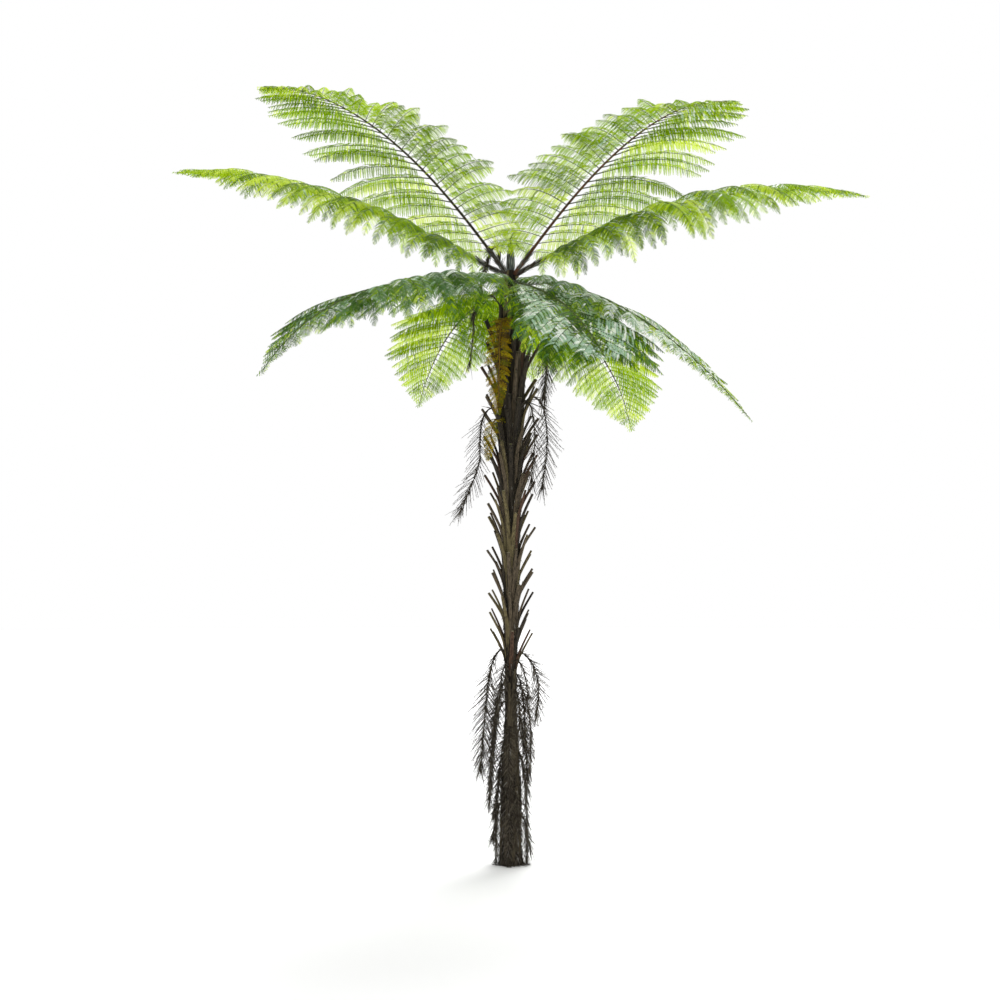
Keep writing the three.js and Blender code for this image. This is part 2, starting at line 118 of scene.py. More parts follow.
# What a living frond has where FRONDS names nothing else. Of two values the first is for leaflets on the
# left, seen from the trunk, and of three the first is for the foot and the last for the tip.
FROND = dict(
    height=3.765,
    swing=0,  # how far the midrib turns on its way
    roll=0,
    leaflet=0.78,  # length of the longest
    foot_share=0.66,  # of that length, at the blade's foot
    widest_at=0.22,  # share of the blade where the longest stand
    taper=1.8,
    first=0.12,  # share of the midrib where the first pair stands
    pairs=30, lift=(2, 2), droop=(30, 30),
    hang=1.3,  # how far pinnules bend down
    bare=0.07,  # share of a rib that is bare next to the midrib
    # dark: shares of pinnules in the darker greens, which are painted shade.
    # glint: shares of pinnules in the near-white greens, which are painted highlights; shine and crest say
    # how bright they are and where they lie.
    tints=(0.28, 0.3, 0.25, 0.17), dark=(0, 0, 0), glint=(0, 0, 0),
    shine=0.4,  # share of the brightest among those that glint
    crest=(0.3, 0.16),  # where on a rib they lie, and their spread
    skin="grey",
)
MIDRIB_SIZES = ("azimuth", "rise", "fall", "ease", "length")
# Those five, from the slope at the root to the slope at the tip, and what differs from FROND.
# Where a frond has dark, that share of its pinnules is painted shade.
# Where a frond has glint, that share of its pinnules is painted highlights.
FRONDS = {
    "frond_upper_left": (224, 39.6, -18, 1.7, 2.24, dict(
        swing=10, roll=-8, leaflet=0.75, first=0.075, pairs=35, droop=(27, 32),
    )),
    "frond_upper_right": (316, 39.8, -23, 1.58, 2.18, dict(
        swing=-22, roll=9, leaflet=0.77, first=0.07, pairs=35, droop=(36, 25), glint=(0, 0.1, 0.4),
        skin="red",
    )),
    "frond_left": (180, 28.4, -2, 1.84, 2.27, dict(
        roll=-7, foot_share=0.9, taper=2.2, first=0.08, pairs=38, lift=(6, 13), droop=(54, 44),
        dark=(0.4, 0, 0), glint=(0, 0.12, 0.25), shine=0.2,
    )),
    "frond_right": (0, 31, -10, 1.28, 2.39, dict(
        roll=6, leaflet=0.83, foot_share=0.88, widest_at=0.28, taper=1.5, first=0.08, pairs=38,
        lift=(10, 6), droop=(44, 61), dark=(0.5, 0, 0), glint=(0.1, 0.35, 0.4),
    )),
    "frond_front_left": (218, -5, -55, 1.75, 2.06, dict(
        swing=8, height=3.725, leaflet=0.85, taper=1, first=0.08, pairs=38, lift=(6, 2), droop=(66, 36),
        bare=0.01, dark=(1, 1, 0.8), glint=(0.45, 0.3, 0.03), skin="green",
    )),
    "frond_front_right": (328, 8, -51, 0.5, 1.96, dict(
        swing=-5, height=3.71, leaflet=0.58, taper=1, first=0.05, pairs=34, lift=(0, 7), droop=(30, 42),
        bare=0.01, dark=(1, 0.4, 0), glint=(0.6, 0.95, 0.6), shine=0.7, crest=(0.4, 0.34), skin="green",
    )),
    "frond_front": (294, -16, -48, 1.5, 1.45, dict(
        height=3.715, leaflet=0.58, foot_share=0.08, widest_at=0.62, first=0.015, lift=(4, 4),
        droop=(40, 52), bare=0.01, dark=(1, 1, 0.8), glint=(0.8, 0.9, 0.9), shine=0.35, crest=(0.35, 0.2),
        skin="green",
    )),
    "frond_back_left": (118, 0, -37, 1.2, 1.9, dict(
        swing=-12, height=3.69, leaflet=0.53, first=0.05, hang=2.4,
    )),
    "frond_back_right": (42, -9, -36, 0.87, 1.9, dict(
        # Tints weighted to the paler greens: painted light, making up for the shade that the front fronds
        # cast on it.
        swing=34, height=3.69, leaflet=0.53, hang=2.4, tints=(0.05, 0.2, 0.4, 0.35),
    )),
    "frond_back": (84, 4, -30, 1.3, 1.85, dict(height=3.705, leaflet=0.56)),
}


# ---- small helpers
def unit(vectors):
    return vectors / np.maximum(np.linalg.norm(vectors, axis=-1, keepdims=True), 1e-12)


def lerp(low, high, share):
    return low + (high - low) * share


def taper(radii, steps):
    return lerp(*radii, np.linspace(0, 1, steps + 1))


def outward(azimuth):
    """Level unit vectors that point away from the trunk's axis."""
    angle = np.radians(azimuth)
    return np.stack([np.cos(angle), np.sin(angle), np.zeros_like(angle)], axis=-1)


def trunk_radius(height):
    return np.interp(height, TRUNK_PROFILE[:, 0], TRUNK_PROFILE[:, 1])


def steps_at(share, steps):
    """The step that each share of a path's length falls in, and how far into it."""
    place = np.clip(share, 0, 1) * steps
    below = np.minimum(place.astype(int), steps - 1)
    return below, (place - below)[:, None]


def at_share(shape, share):
    """What the even rows of a midrib's shape hold at shares of its length."""
    below, part = steps_at(share, len(shape.point) - 1)
    return Named(**{key: lerp(rows[below], rows[below + 1], part) for key, rows in vars(shape).items()})


def along_paths(paths, which, share):
    """Points and directions at a share of the length of chosen paths."""
    below, part = steps_at(share, paths.shape[1] - 1)
    points = lerp(paths[which, below], paths[which, below + 1], part)
    smooth = unit(np.gradient(paths, axis=1))
    return points, unit(lerp(smooth[which, below], smooth[which, below + 1], part))


def add_object(name, data):
    made = bpy.data.objects.new(name, data)
    bpy.context.scene.collection.objects.link(made)
    return made


class Batch:
    """Points and faces gathered for one joined mesh. Each face has the number of its material."""

    def __init__(self):
        self.points, self.faces, self.finishes, self.smooth = [], [], [], []
        self.total = 0

    def add(self, points, faces, finish=0, smooth=False):
        points = np.asarray(points, float).reshape(-1, 3)
        faces = np.asarray(faces, int)
        self.points.append(points)
        self.faces.append(faces + self.total)
        self.finishes.append(np.broadcast_to(finish, len(faces)))
        self.smooth.append(np.full(len(faces), smooth))
        self.total += len(points)

    def build(self, name, materials):
        mesh = bpy.data.meshes.new(name)
        sizes = np.concatenate([np.full(len(f), f.shape[1]) for f in self.faces])
        corners = np.concatenate([f.ravel() for f in self.faces])
        mesh.vertices.add(self.total)
        mesh.vertices.foreach_set("co", np.concatenate(self.points).ravel())
        mesh.loops.add(len(corners))
        mesh.loops.foreach_set("vertex_index", corners)
        mesh.polygons.add(len(sizes))
        mesh.polygons.foreach_set("loop_start", np.concatenate([[0], np.cumsum(sizes)[:-1]]))
        for material in materials:
            mesh.materials.append(material)
        mesh.polygons.foreach_set("material_index", np.concatenate(self.finishes))
        mesh.polygons.foreach_set("use_smooth", np.concatenate(self.smooth))
        mesh.update()
        mesh.validate()
        piece = add_object(name, mesh)
        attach(piece, "root")
        return piece


def rings(batch, points, finish=0, cap=None):
    """Closed tubes through rings of points (tube, station, side, xyz). finish and cap are one number, or
    one for each tube."""
    count, stations, sides, _ = points.shape
    corner = np.arange(count * stations * sides).reshape(count, stations, sides)
    after = np.roll(corner, -1, axis=2)
    quads = np.stack([corner[:, :-1], after[:, :-1], after[:, 1:], corner[:, 1:]], axis=-1)
    finish = np.broadcast_to(finish, count)
    cap = finish if cap is None else np.broadcast_to(cap, count)
    before = batch.total
    batch.add(points, quads.reshape(-1, 4), np.repeat(finish, (stations - 1) * sides), smooth=True)
    ends = np.concatenate([corner[:, 0, ::-1], corner[:, -1]])
    batch.add(np.zeros((0, 3)), ends + before - batch.total, np.concatenate([finish, cap]))


def tubes(batch, paths, radii, face, sides, finish=0, flatten=1.0, cap=None):
    """Tapering tubes along paths (tube, station, xyz). face points to each tube's upper side, and flatten
    is the tube's thickness as a share of its width."""
    paths = np.asarray(paths, float)
    count, stations, _ = paths.shape
    along = unit(np.gradient(paths, axis=1))
    across = unit(np.cross(np.broadcast_to(face, paths.shape), along))
    over = np.cross(along, across)
    radii, flatten = (np.broadcast_to(x, (count, stations))[:, :, None, None] for x in (radii, flatten))
    turn = ((np.arange(sides) + 0.5) * (2 * np.pi / sides))[:, None]
    ring = across[:, :, None, :] * np.cos(turn) + over[:, :, None, :] * np.sin(turn) * flatten
    rings(batch, paths[:, :, None, :] + ring * radii, finish, cap)


# ---- materials
GRAIN = Named(detail=8, roughness=0.65, stops=(0.34, 0.68), depth=0.004, gloss=0.2)


def linear(code):
    """Linear red, green, blue and alpha from a six-digit screen colour."""
    channels = [int(code[k:k + 2], 16) / 255 for k in (0, 2, 4)]
    return [c / 12.92 if c <= 0.04045 else ((c + 0.055) / 1.055) ** 2.4 for c in channels] + [1.0]


def node_material(name):
    material = bpy.data.materials.new(name)
    material.use_nodes = True
    nodes = material.node_tree.nodes
    return material, nodes, material.node_tree.links, nodes["Principled BSDF"]


def set_inputs(node, values):
    for name, value in values.items():
        node.inputs[name].default_value = value


def leaf_material(name, face, glow, roughness, gloss, share):
    """A leaf of one colour that shines on top and glows in another colour with the light behind it."""
    material, nodes, links, shader = node_material(name)
    set_inputs(shader, {"Base Color": linear(face), "Roughness": roughness, "Specular IOR Level": gloss})
    through = nodes.new("ShaderNodeBsdfTranslucent")
    set_inputs(through, {"Color": linear(glow)})
    mix = nodes.new("ShaderNodeMixShader")
    set_inputs(mix, {"Fac": share})
    links.new(shader.outputs[0], mix.inputs[1])
    links.new(through.outputs[0], mix.inputs[2])
    links.new(mix.outputs[0], nodes["Material Output"].inputs["Surface"])
    return material


def grain_material(name, dark, light, roughness, scale, stretch, bump):
    """Dry plant matter: two colours in streaks along Z, with relief that follows them."""
    material, nodes, links, shader = node_material(name)
    place = nodes.new("ShaderNodeTexCoord")
    mapping = nodes.new("ShaderNodeMapping")
    set_inputs(mapping, {"Scale": (1, 1, stretch)})
    links.new(place.outputs["Object"], mapping.inputs["Vector"])
    noise = nodes.new("ShaderNodeTexNoise")
    set_inputs(noise, {"Scale": scale, "Detail": GRAIN.detail, "Roughness": GRAIN.roughness})
    links.new(mapping.outputs[0], noise.inputs["Vector"])
    ramp = nodes.new("ShaderNodeValToRGB")
    for stop, place, code in zip(ramp.color_ramp.elements, GRAIN.stops, (dark, light)):
        stop.position = place
        stop.color = linear(code)
    links.new(noise.outputs["Fac"], ramp.inputs[0])
    links.new(ramp.outputs[0], shader.inputs["Base Color"])
    relief = nodes.new("ShaderNodeBump")
    set_inputs(relief, {"Strength": bump, "Distance": GRAIN.depth})
    links.new(noise.outputs["Fac"], relief.inputs["Height"])
    links.new(relief.outputs[0], shader.inputs["Normal"])
    set_inputs(shader, {"Roughness": roughness, "Specular IOR Level": GRAIN.gloss})
    return material


def finishes(make, kind, rows):
    """One material for each named row of a kind's settings."""
    return [make(f"{kind}_{name}", *settings) for name, settings in rows.items()]


LEAF_LIGHT = finishes(leaf_material, "leaf_light", {
    "deep": ("3c5a00", "7c9c00", 0.42, 0.05, 0.5),
    "mid": ("547600", "9cc000", 0.42, 0.06, 0.55),
    "fresh": ("6c8e04", "b8d60c", 0.40, 0.08, 0.55),
    "pale": ("8cac20", "d8ea48", 0.38, 0.12, 0.6),
})
# Darker greens for painted shade: dealt out where leaflets crowd and shade one another, at the fronds' feet,
# next to the midribs and over the front fronds.
LEAF_PAINTED_SHADE = finishes(leaf_material, "leaf_dark", {
    "deep": ("1c3e06", "4e7a00", 0.36, 0.12, 0.3),
    "mid": ("2c540e", "6a9600", 0.34, 0.15, 0.35),
    "blue": ("426a44", "769c28", 0.30, 0.3, 0.3),
    "fresh": ("547a0c", "98b808", 0.36, 0.15, 0.45),
})
# Near-white greens for painted highlights: the sky's reflection on leaflets where they bend over.
LEAF_PAINTED_GLINT = finishes(leaf_material, "leaf_glint", {
    "soft": ("a4c4ae", "a4c070", 0.3, 0.4, 0.2),
    "bright": ("f6faf6", "e8f0d0", 0.25, 0.5, 0.2),
})
LEAF_DYING = finishes(leaf_material, "leaf_dying", {
    "ochre": ("8a7000", "c4a800", 0.6, 0.1, 0.4),
    "olive": ("5c5c0a", "949a06", 0.6, 0.1, 0.4),
    "yellow": ("a8940a", "e4d020", 0.55, 0.1, 0.45),
    "brown": ("4c3a10", "806818", 0.7, 0.1, 0.3),
})
STALK_FINISHES = {
    "grey": grain_material("stalk_skin", "1d1713", "4a3d32", 0.5, 60, 0.25, 0.4),
    "red": grain_material("stalk_red_skin", "2c1a12", "6b4630", 0.45, 60, 0.25, 0.4),
    "green": grain_material("stalk_green_skin", "2e3a1c", "6a7a44", 0.5, 60, 0.25, 0.4),
}
RIB_FINISH = grain_material("rib_skin", "1c2a08", "3e5410", 0.5, 90, 0.4, 0.3)
BASE_FINISHES = finishes(grain_material, "base", {
    "khaki": ("37311f", "776c4c", 0.85, 110, 0.06, 0.9),
    "brown": ("2a241b", "665a48", 0.85, 110, 0.06, 0.9),
    "red": ("2a1e16", "604838", 0.8, 110, 0.06, 0.9),
    "dark": ("15120e", "3d362b", 0.8, 110, 0.06, 0.9),
    "cut": ("4b4436", "a39a83", 0.9, 220, 0.5, 0.6),
    "felt": ("2b261c", "655c4a", 0.95, 150, 0.1, 1.0),
})
CORE_FINISH = grain_material("bark_core", "0f0d0a", "2f291f", 0.95, 70, 0.12, 1.0)
FIBRE_FINISHES = finishes(grain_material, "fibre", {
    "dark": ("1c1813", "463f34", 0.9, 140, 0.2, 0.3),
    "grey": ("38342c", "7a7263", 0.9, 140, 0.2, 0.3),
    "pale": ("74716c", "bcb8b0", 0.9, 140, 0.2, 0.3),
})
SCALE_FINISHES = finishes(grain_material, "scale", {
    "grey": ("3a403f", "747b78", 0.7, 160, 0.3, 0.5),
    "pale": ("5e645e", "a4a89e", 0.7, 160, 0.3, 0.5),
    "brown": ("2e2822", "5a5044", 0.75, 160, 0.3, 0.5),
})
DYING_RIB_FINISH = grain_material("dying_rib_skin", "54400f", "8a6c1c", 0.6, 90, 0.4, 0.3)

# Numbers of the finishes on a frond's stalk and ribs.
SKIN, RIB, SCALES = 0, 1, (2, 3, 4)
# Numbers of the base finishes with a place of their own.
DARK, CUT, FELT = 3, 4, 5


# ---- living fronds
def midrib(frond):
    """Evenly spaced points of a frond's midrib, with the directions along it, level and over it."""
    share = np.linspace(0, 1, MIDRIB_STEPS + 1)
    slope = np.radians(lerp(frond.rise, frond.fall, share ** frond.ease))[:, None]
    heading = outward(frond.azimuth + frond.swing * share)
    along = heading * np.cos(slope) + UP * np.sin(slope)
    level = np.cross(UP, heading)
    start = outward(frond.azimuth) * STALK.start + UP * frond.height
    steps = (along[1:] + along[:-1]) * (frond.length / MIDRIB_STEPS / 2)
    point = np.vstack([start, start + np.cumsum(steps, axis=0)])
    return Named(point=point, along=along, level=level, over=np.cross(along, level))


def leaflet_share(frond, share):
    """Share of the longest leaflet's length that a leaflet has at this share of the blade. The first few
    leaflets, below the blade's foot, are shorter still."""
    widest = frond.widest_at
    rising = lerp(frond.foot_share, 1, np.sin(np.clip(share / widest, 0, 1) * np.pi / 2))
    rising *= 1 + np.minimum(share, 0) / LEAFLETS.short_foot
    falling = 1 - np.clip((share - widest) / (1 - widest), 0, 1) ** frond.taper
    return np.where(share < widest, rising, np.maximum(falling, LEAFLETS.width_at_tip))


def leaflet_ribs(frond, spine, rng):
    """The ribs of all leaflets of a frond, in pairs: their points and the way that their upper side faces."""
    pairs, steps = frond.pairs, LEAFLETS.steps
    side = np.tile([1.0, -1.0], pairs)
    count = len(side)
    order = np.repeat(np.arange(pairs) + 0.5, 2) + LEAFLETS.stagger * side
    order = order + rng.normal(0, LEAFLETS.place_spread, count)
    place = 1 - (1 - np.clip(order / pairs, 0, 1)) ** LEAFLETS.crowding
    place = lerp(frond.first, 1, place)
    share = (place - STALK.share) / (1 - STALK.share)
    here = at_share(spine, place)
    roll = math.radians(frond.roll)
    flat = here.level * math.cos(roll) + here.over * math.sin(roll)
    upright = here.over * math.cos(roll) - here.level * math.sin(roll)
    angle = lerp(*LEAFLETS.angle, share) + rng.normal(0, LEAFLETS.angle_spread, count)
    angle = np.radians(angle)[:, None]
    lift = np.tile(frond.lift, pairs) + rng.normal(0, LEAFLETS.lift_spread, count)
    lift = np.radians(lift)[:, None]
    heading = unit(
        here.along * np.cos(angle)
        + flat * side[:, None] * np.sin(angle) * np.cos(lift)
        + upright * np.sin(angle) * np.sin(lift)
    )
    size = leaflet_share(frond, share)
    length = frond.leaflet * size * rng.normal(1, LEAFLETS.length_spread, count)
    droop = np.tan(np.radians(np.tile(frond.droop, pairs) * size ** LEAFLETS.droop_power))
    droop = droop * rng.normal(1, LEAFLETS.droop_spread, count)
    sag = droop[:, None] * ((np.arange(steps) + 0.5) / steps) ** LEAFLETS.sag_power
    step = unit(heading[:, None, :] - UP * sag[:, :, None])
    path = np.cumsum(step * (length / steps)[:, None, None], axis=1)
    points = np.concatenate([np.zeros((count, 1, 3)), path], axis=1) + here.point[:, None, :]
    return Named(points=points, share=share, length=length, upright=upright, size=size)


def lobed_strips(batch, root, start, width_way, face, length, half_width, sag, lobes, finish, rng):
    """Narrow leaves cut into pointed lobes. Each leaves its root along start, sags downwards by sag times
    its length, and lies across width_way with face on its upper side."""
    count = len(root)
    at = (np.arange(lobes) + 0.5) / lobes
    way = unit(start[:, None, :] - UP * (sag[:, None] * at)[:, :, None])
    spine = np.cumsum(way * (length / lobes)[:, None, None], axis=1) + root[:, None, :]
    spine = np.concatenate([root[:, None, :], spine], axis=1)
    across = unit(width_way[:, None, :] - way * np.sum(width_way[:, None, :] * way, axis=-1, keepdims=True))
    normal = np.cross(way, across)
    normal *= np.sign(np.sum(normal * face[:, None, :], axis=-1, keepdims=True) + 1e-9)
    twist = rng.normal(0, LOBES.twist_spread, (count, 1, 1))
    turned = across * np.cos(twist) + normal * np.sin(twist)
    normal = normal * np.cos(twist) - across * np.sin(twist)
    half = half_width[:, None] * np.interp(at, *LOBES.outline)
    half = half * rng.uniform(*LOBES.width_spread, (count, lobes))
    middle = (spine[:, :-1] + spine[:, 1:]) / 2
    ahead = half * LOBES.ahead_by_width + length[:, None] / lobes * LOBES.ahead_by_length
    ahead = way * ahead[:, :, None]
    fold = normal * (half * LOBES.fold)[:, :, None]
    right = middle + ahead + turned * half[:, :, None] - fold
    left = middle + ahead - turned * half[:, :, None] - fold
    points = np.concatenate([spine, right, left], axis=1)
    first = (np.arange(count) * (3 * lobes + 1))[:, None] + np.arange(lobes)
    rows = [
        np.stack([first, first + lobes + 1, first + 1], axis=-1),
        np.stack([first, first + 1, first + 2 * lobes + 1], axis=-1),
    ]
    triangles = np.concatenate(rows, axis=1).reshape(-1, 3)
    batch.add(points, triangles, np.repeat(finish, 2 * lobes))


def comb(batch, ribs, sizes, frond, rng):
    """Two combs of pinnules on every rib. Those that glint, in near-white greens that are painted highlights,
    lie where their rib bends over.
    """
    usable = ribs.length * (1 - frond.bare)
    numbers = np.maximum(2, np.round(usable / sizes.pitch).astype(int))
    which = np.repeat(np.arange(len(numbers)), numbers)
    order = np.concatenate([np.arange(n) for n in numbers])
    share = lerp(frond.bare, 1, (order + 0.5) / numbers[which])
    which, share = np.tile(which, 2), np.tile(share, 2)
    side = np.repeat([1.0, -1.0], len(order))
    share = np.clip(share + side * COMB.stagger * sizes.pitch / ribs.length[which], 0, 1)
    count = len(which)
    root, rib = along_paths(ribs.points, which, share)
    across = unit(np.cross(ribs.upright[which], rib))
    face = np.cross(rib, across)
    angle = np.interp(share, *COMB.angle) + rng.normal(0, COMB.angle_spread, count)
    angle = np.radians(angle)[:, None]
    start = rib * np.cos(angle) + across * side[:, None] * np.sin(angle)
    length = sizes.length * np.interp(share, *COMB.outline) * ribs.size[which] ** COMB.size_power
    length = length * rng.normal(1, COMB.length_spread, count)
    half_width = sizes.half_width * (length / sizes.length) ** COMB.width_power
    sag = frond.hang * rng.normal(1, COMB.hang_spread, count)
    tint = rng.choice(len(frond.tints), len(numbers), p=frond.tints)[which]
    tint = np.where(rng.random(count) < COMB.strays, rng.integers(0, len(frond.tints), count), tint)
    # Painted shade: a share of the pinnules gets the darker greens, most near the root of each rib.
    place = np.clip(ribs.share[which], 0, 1)
    shade = np.interp(place, [0, 0.5, 1], frond.dark) * np.interp(share, *COMB.shade)
    tint = tint + len(LEAF_LIGHT) * (rng.random(count) < shade)
    # Painted highlights: near each rib's crest, a share of the pinnules gets the near-white glint greens.
    middle, spread = frond.crest
    crest = rng.normal(middle, spread / 2, len(numbers))[which]
    bent = np.exp(-((share - crest) / spread) ** 2)
    glint = rng.random(count) < np.interp(place, [0, 0.5, 1], frond.glint) * bent
    tint = np.where(glint, len(LEAF_LIGHT + LEAF_PAINTED_SHADE) + (rng.random(count) < frond.shine), tint)
    lobes = np.clip(np.round(length / sizes.lobe / 2) * 2, *COMB.lobes).astype(int)
    rows = (root, start, rib, face, length, half_width, sag)
    for number in np.unique(lobes):
        alike = lobes == number
        lobed_strips(batch, *(row[alike] for row in rows), int(number), tint[alike], rng)


def stalk_scales(batch, spine, rng):
    """Long papery scales that lie along the foot of a stalk."""
    count = STALK.scales
    here = at_share(spine, rng.uniform(0, STALK.scaly, count))
    turn = rng.uniform(0, 2 * np.pi, count)[:, None]
    away = here.level * np.cos(turn) + here.over * np.sin(turn)
    start = here.point + away * STALK.radii[0] * STALK.scale_seat
    way = unit(here.along + away * rng.uniform(*STALK.scale_slope, count)[:, None])
    length = rng.uniform(*STALK.scale_length, count)
    step = np.linspace(0, 1, 4)[:, None]
    paths = start[:, None, :] + way[:, None, :] * step * length[:, None, None]
    width = np.interp(step[:, 0], *STALK.scale_width)
    finish = rng.choice(SCALES, count, p=STALK.scale_tones)
    tubes(batch, paths, width, away[:, None, :], SIDES.scale, finish, STALK.scale_flatten)


def living_frond(name, frond, seed):
    rng = np.random.default_rng(seed)
    spine = midrib(frond)
    ribs = leaflet_ribs(frond, spine, rng)
    leaves = Batch()
    comb(leaves, ribs, PINNULES, frond, rng)
    piece = leaves.build(f"{name}_leaflets", LEAF_LIGHT + LEAF_PAINTED_SHADE + LEAF_PAINTED_GLINT)
    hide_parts(f"{name}_inner", f"{name}_outer")
    wood = Batch()
    radius = np.interp(np.linspace(0, 1, MIDRIB_STEPS + 1), [0, STALK.share, 1], STALK.radii)
    tubes(wood, spine.point[None], radius, spine.over[None], SIDES.stalk, SKIN)
    thickness = np.linspace(1, 0, LEAFLETS.steps + 1)
    radii = lerp(LEAFLETS.tip_radius, LEAFLETS.base_radius, thickness) * np.sqrt(ribs.size)[:, None]
    upright = ribs.upright[:, None, :]
    tubes(wood, ribs.points - upright * LEAFLETS.rib_depth, radii, upright, SIDES.rib, RIB)
    stalk_scales(wood, spine, rng)
    stalk = wood.build(f"{name}_ribs", [STALK_FINISHES[frond.skin], RIB_FINISH] + SCALE_FINISHES)
    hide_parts(f"{name}_stalk")


for seed, (name, (*sizes, given)) in enumerate(FRONDS.items()):
    living_frond(name, Named(**(FROND | dict(zip(MIDRIB_SIZES, sizes)) | given)), seed)

# ---- trunk
CORE = Named(
    around=56, rows=200,
    share=0.9,  # of the trunk's radius
    furrows=40,
    waves=(3, 22),  # round the trunk in one furrow
    pitch=9,  # how far they wind at most
    drift=3,  # how fast they come and go up the trunk
    depth=0.0028,
)
# Cut bases that stand off the trunk, as they do in the CAD.
STUBS = Named(
    count=62, lowest=1.15, rise=0.034, reach=0.1, lift=0.285,
    reach_spread=0.25, reach_wave=2.4, lift_spread=0.1, lift_wave=1.7,
    out=(-0.15, 0.05, 0.45, 1.0),  # shares of the reach and of the lift, from foot to tip
    up=(0.0, 0.4, 0.68, 1.0), rounding=(-0.09, -0.03, 0.03, 0.09),
)
BASES = Named(
    below=33,  # under the lowest stub, with stubs that have weathered away
    above=14,  # over the highest stub, among the fronds
    bare_reach=(0.004, 0.02),  # what is left of the stubs of both
    bare_lift=(0.1, 0.2),
    clasp=0.3,  # length of a base under its stub
    clasp_spread=(0.8, 1.2),
    clasp_share=0.42,  # share of the stations on it
    foot_gap=0.006, top_gap=0.004,
    hug=(-0.012, -0.003, 0.002, 0),  # how far it stands off the trunk
    sunk=0.004,
    wander=5,  # spread of its foot round the trunk
    stations=16, foot_width=0.019, tip_width=0.0125,
    stout=(0.72, 1.12),  # width of low and of high stubs as a share of those sizes
    stout_heights=(1.3, 3.0), stout_spread=(0.85, 1.15),
    twin_lift=0.022,  # a second, thinner stub beside each of the first: how far above it,
    twin_turn=24,  # round the trunk from it,
    twin_width=0.8,  # and its share of the other's width
    twin_reach=(0.6, 1),  # and reach
    flatten=([0, 0.5, 1], [0.4, 0.5, 0.75]), tones=(0.3, 0.32, 0.2, 0.18),
    high_tones=(0.1, 0.35, 0.15, 0.4), high=2.5,
    foot_tones=(0.25, 0.75),  # dark and felted
    foot=1.15,
)


def smooth_rise(share, levels):
    """Curve through evenly spaced levels, rounded at its corners."""
    places = np.linspace(0, 1, len(levels))
    shifted = (np.interp(share + shift, places, levels) for shift in STUBS.rounding)
    return sum(shifted) / len(STUBS.rounding)


def bark_core():
    """The trunk under its old frond bases: furrowed lengthwise, with a flat cut at the ground."""
    rng = np.random.default_rng(SEEDS.core)
    around, rows = CORE.around, CORE.rows
    height = np.linspace(0, CROWN_HEIGHT, rows)
    angle = np.arange(around) * (2 * np.pi / around)
    relief = np.zeros((rows, around))
    for _ in range(CORE.furrows):
        waves, pitch = rng.integers(*CORE.waves), rng.uniform(-CORE.pitch, CORE.pitch)
        phase, drift = rng.uniform(0, 2 * np.pi), rng.uniform(0, 2 * np.pi)
        fade = np.sin(CORE.drift * height[:, None] + drift)
        relief += np.sin(waves * angle + pitch * height[:, None] + phase) * fade
    relief *= CORE.depth / relief.std()
    radius = trunk_radius(height)[:, None] * CORE.share + relief
    points = np.stack([
        radius * np.cos(angle), radius * np.sin(angle), np.repeat(height[:, None], around, axis=1),
    ], axis=-1)
    batch = Batch()
    rings(batch, points[None])
    return batch.build("trunk_core", [CORE_FINISH])


def old_bases():
    """Bases of fallen fronds on their spiral: each clasps the trunk, then bends out into a cut stub."""
    rng = np.random.default_rng(SEEDS.bases)
    stubs = np.arange(STUBS.count)
    number = np.concatenate([np.arange(-BASES.below, STUBS.count + BASES.above), stubs])
    count = len(number)
    twin = np.arange(count) >= count - len(stubs)
    foot = STUBS.lowest + number * STUBS.rise + twin * BASES.twin_lift
    has_stub = (number >= 0) & (number < STUBS.count)
    reach = STUBS.reach * (1 + STUBS.reach_spread * np.sin(number * STUBS.reach_wave))
    lift = STUBS.lift * (1 + STUBS.lift_spread * np.cos(number * STUBS.lift_wave))
    reach = np.where(has_stub, reach, rng.uniform(*BASES.bare_reach, count))
    lift = np.where(has_stub, lift, rng.uniform(*BASES.bare_lift, count))
    reach = np.where(twin, reach * rng.uniform(*BASES.twin_reach, count), reach)
    share = np.linspace(0, 1, BASES.stations)
    clasp_end = BASES.clasp_share
    on_trunk = np.clip(share / clasp_end, 0, 1)
    on_stub = np.clip((share - clasp_end) / (1 - clasp_end), 0, 1)
    clasp = np.minimum(BASES.clasp * rng.uniform(*BASES.clasp_spread, count), foot - BASES.foot_gap)
    height = foot[:, None] - clasp[:, None] * (1 - on_trunk)
    height = height + lift[:, None] * smooth_rise(on_stub, STUBS.up)
    height = np.minimum(height, CROWN_HEIGHT - BASES.top_gap)
    hug = np.interp(share, [0, 0.15, clasp_end, 0.6], BASES.hug)
    out = smooth_rise(on_stub, STUBS.out)
    distance = trunk_radius(height) + hug + out * reach[:, None] - BASES.sunk
    azimuth = number * GOLDEN_ANGLE + twin * rng.choice([-1, 1], count) * BASES.twin_turn
    wander = rng.normal(0, BASES.wander, count)[:, None] * (1 - on_trunk)
    away = outward(azimuth[:, None] + wander)
    paths = away * distance[:, :, None]
    paths[:, :, 2] = height
    tip = BASES.tip_width / BASES.foot_width
    width = np.interp(share, [0, 0.12, 0.45, 0.62, 1], [0.35, 0.95, 1.0, 0.8, tip])
    stout = np.interp(foot, BASES.stout_heights, BASES.stout) * rng.uniform(*BASES.stout_spread, count)
    stout = (stout * np.where(twin, BASES.twin_width, 1))[:, None]
    width = width * BASES.foot_width * lerp(1, stout, on_stub)
    finish = rng.choice(4, count, p=BASES.tones)
    finish = np.where(foot > BASES.high, rng.choice(4, count, p=BASES.high_tones), finish)
    finish = np.where(foot < BASES.foot, rng.choice([DARK, FELT], count, p=BASES.foot_tones), finish)
    batch = Batch()
    tubes(batch, paths, width, away, SIDES.base, finish, np.interp(share, *BASES.flatten), cap=CUT)
    return batch.build("trunk_bases", BASE_FINISHES)


